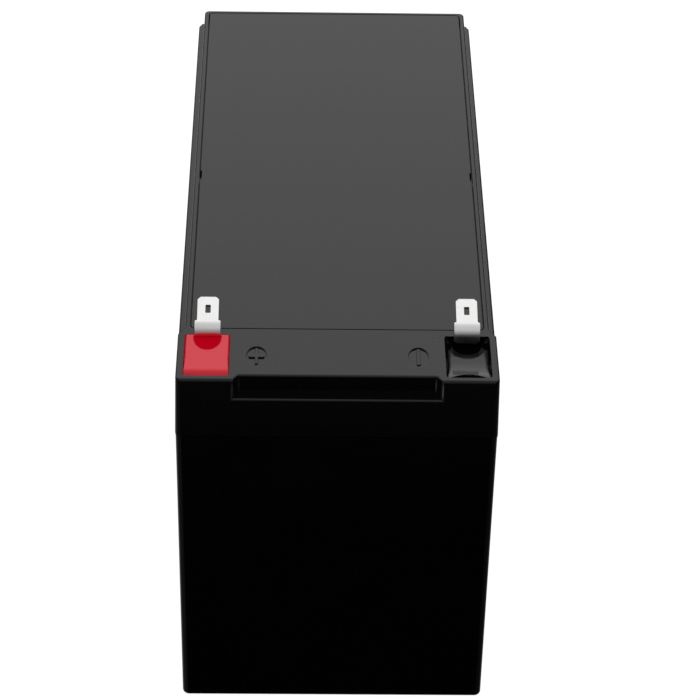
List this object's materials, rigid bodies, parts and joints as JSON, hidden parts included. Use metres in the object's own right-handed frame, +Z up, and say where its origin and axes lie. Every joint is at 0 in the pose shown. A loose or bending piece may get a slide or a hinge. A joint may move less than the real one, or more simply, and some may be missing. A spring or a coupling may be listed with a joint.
{
  "type": "sealed lead acid battery",
  "caption": "Block-shaped sealed lead acid battery with a stepped lid, a flush cover plate and two bent push-on tabs in potted pockets at one end.",
  "frame": {"origin": "middle of the underside, on the surface that the battery stands on", "axes": "+Z up; +Y along the case, away from the end with the terminals; +X across it, towards the negative terminal"},
  "size_m": [0.0694, 0.151, 0.0986],
  "materials": {
    "case_plastic": "moulded black plastic, semi-gloss",
    "cover_plastic": "moulded black plastic, semi-gloss",
    "red_potting": "cast red resin, glossy",
    "black_potting": "cast black resin, glossy",
    "tinned_sheet": "tinned stamped sheet",
    "lead": "cast lead, dull",
    "negative_paste": "spongy lead paste, matt grey",
    "positive_paste": "lead dioxide paste, matt brown",
    "glass_mat": "absorbent glass mat, matt white",
    "valve_rubber": "moulded rubber, matt",
    "seal_rubber": "moulded rubber, matt"
  },
  "bodies": {
    "root": {"container": "case_plastic", "lid": "case_plastic", "vent_cover": "cover_plastic", "valve_cap_1": "valve_rubber", "valve_cap_2": "valve_rubber", "valve_cap_3": "valve_rubber", "valve_cap_4": "valve_rubber", "valve_cap_5": "valve_rubber", "valve_cap_6": "valve_rubber", "positive_tab": "tinned_sheet", "positive_post": "lead", "positive_post_seal": "seal_rubber", "positive_potting": "red_potting", "negative_tab": "tinned_sheet", "negative_post": "lead", "negative_post_seal": "seal_rubber", "negative_potting": "black_potting", "positive_plates_1": "positive_paste", "negative_plates_1": "negative_paste", "separators_1": "glass_mat", "positive_plates_2": "positive_paste", "negative_plates_2": "negative_paste", "separators_2": "glass_mat", "positive_plates_3": "positive_paste", "negative_plates_3": "negative_paste", "separators_3": "glass_mat", "positive_plates_4": "positive_paste", "negative_plates_4": "negative_paste", "separators_4": "glass_mat", "positive_plates_5": "positive_paste", "negative_plates_5": "negative_paste", "separators_5": "glass_mat", "positive_plates_6": "positive_paste", "negative_plates_6": "negative_paste", "separators_6": "glass_mat", "cell_link_1": "lead", "cell_link_2": "lead", "cell_link_3": "lead", "cell_link_4": "lead", "cell_link_5": "lead"}
  },
  "joints": []
}
